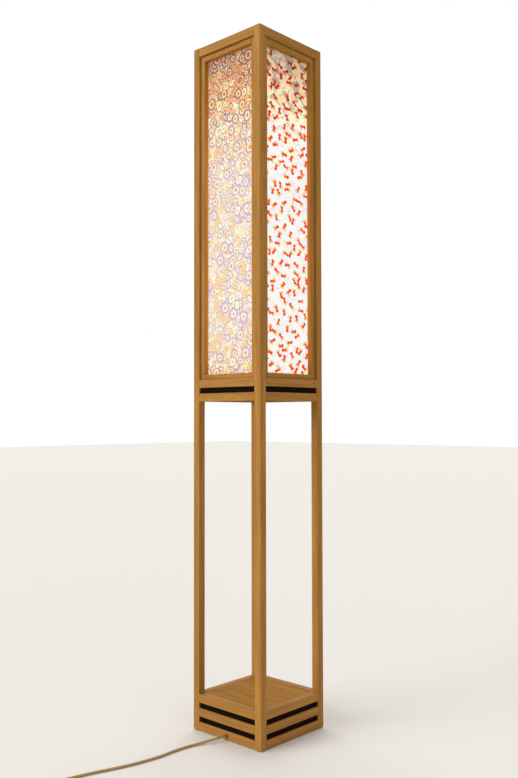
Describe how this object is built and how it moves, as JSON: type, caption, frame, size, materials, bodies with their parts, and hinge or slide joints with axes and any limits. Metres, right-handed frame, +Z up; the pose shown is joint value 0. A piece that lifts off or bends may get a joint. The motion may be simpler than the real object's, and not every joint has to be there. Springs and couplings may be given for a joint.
{
  "type": "floor lamp",
  "caption": "Tall square wooden floor lamp in the andon style: slatted base, open middle and a lantern of four patterned paper panels, with a cord, foot switch and plug.",
  "frame": {"origin": "on the floor under the middle of the lamp", "axes": "+Z up along the posts, -Y the front, the side that the cord leaves, +X the lamp's right side"},
  "size_m": [0.3164, 0.725, 1.716],
  "materials": {
    "blond_wood": "satin lacquer",
    "board_wood": "satin lacquer",
    "dark_wood": "matt stain",
    "lantern_paper": "matt printed paper",
    "felt": "felt",
    "zinc_screws": "zinc plated",
    "brass": "satin",
    "nickel": "nickel plated",
    "holder_plastic": "moulded",
    "opal_glass": "opal",
    "gold_cord": "satin sheath",
    "brown_plastic": "moulded",
    "switch_button": "moulded",
    "hook_and_loop": "woven"
  },
  "bodies": {
    "lamp": {"back_band_lower_rail": "blond_wood", "back_band_upper_rail": "blond_wood", "back_base_bottom_rail": "blond_wood", "back_base_middle_rail": "blond_wood", "back_base_top_rail": "blond_wood", "back_lantern_paper": "lantern_paper", "back_left_post": "blond_wood", "back_panel_frame": "blond_wood", "back_right_post": "blond_wood", "back_top_rail": "blond_wood", "base_board": "board_wood", "base_board_cleats": "blond_wood", "bulb_base": "nickel", "bulb_glass": "opal_glass", "coil_tie": "hook_and_loop", "cord_coil": "gold_cord", "cord_grip": "brown_plastic", "cord_run": "gold_cord", "dark_spacer_strips": "dark_wood", "felt_pads": "felt", "foot_switch_housing": "brown_plastic", "front_band_lower_rail": "blond_wood", "front_band_upper_rail": "blond_wood", "front_base_bottom_rail": "blond_wood", "front_base_middle_rail": "blond_wood", "front_base_top_rail": "blond_wood", "front_lantern_paper": "lantern_paper", "front_left_post": "blond_wood", "front_panel_frame": "blond_wood", "front_right_post": "blond_wood", "front_top_rail": "blond_wood", "holder_cap": "holder_plastic", "holder_sleeve": "holder_plastic", "inner_lead": "gold_cord", "lamp_stem": "brass", "lantern_floor": "board_wood", "lantern_floor_cleats": "blond_wood", "lead_clips": "brown_plastic", "left_band_lower_rail": "blond_wood", "left_band_upper_rail": "blond_wood", "left_base_bottom_rail": "blond_wood", "left_base_middle_rail": "blond_wood", "left_base_top_rail": "blond_wood", "left_lantern_paper": "lantern_paper", "left_panel_frame": "blond_wood", "left_top_rail": "blond_wood", "plug_body": "brown_plastic", "plug_pins": "nickel", "right_band_lower_rail": "blond_wood", "right_band_upper_rail": "blond_wood", "right_base_bottom_rail": "blond_wood", "right_base_middle_rail": "blond_wood", "right_base_top_rail": "blond_wood", "right_lantern_paper": "lantern_paper", "right_panel_frame": "blond_wood", "right_top_rail": "blond_wood", "stem_nuts": "brass", "wood_screws": "zinc_screws"},
    "switch_button": {"foot_switch_button": "switch_button"}
  },
  "joints": [
    {"name": "foot_switch_press", "type": "slide", "parent": "lamp", "child": "switch_button", "axis": [0, 0, -1], "range_m": [0, 0.0035], "stiffness_N_per_m": 1200, "springref_m": -0.0015}
  ]
}
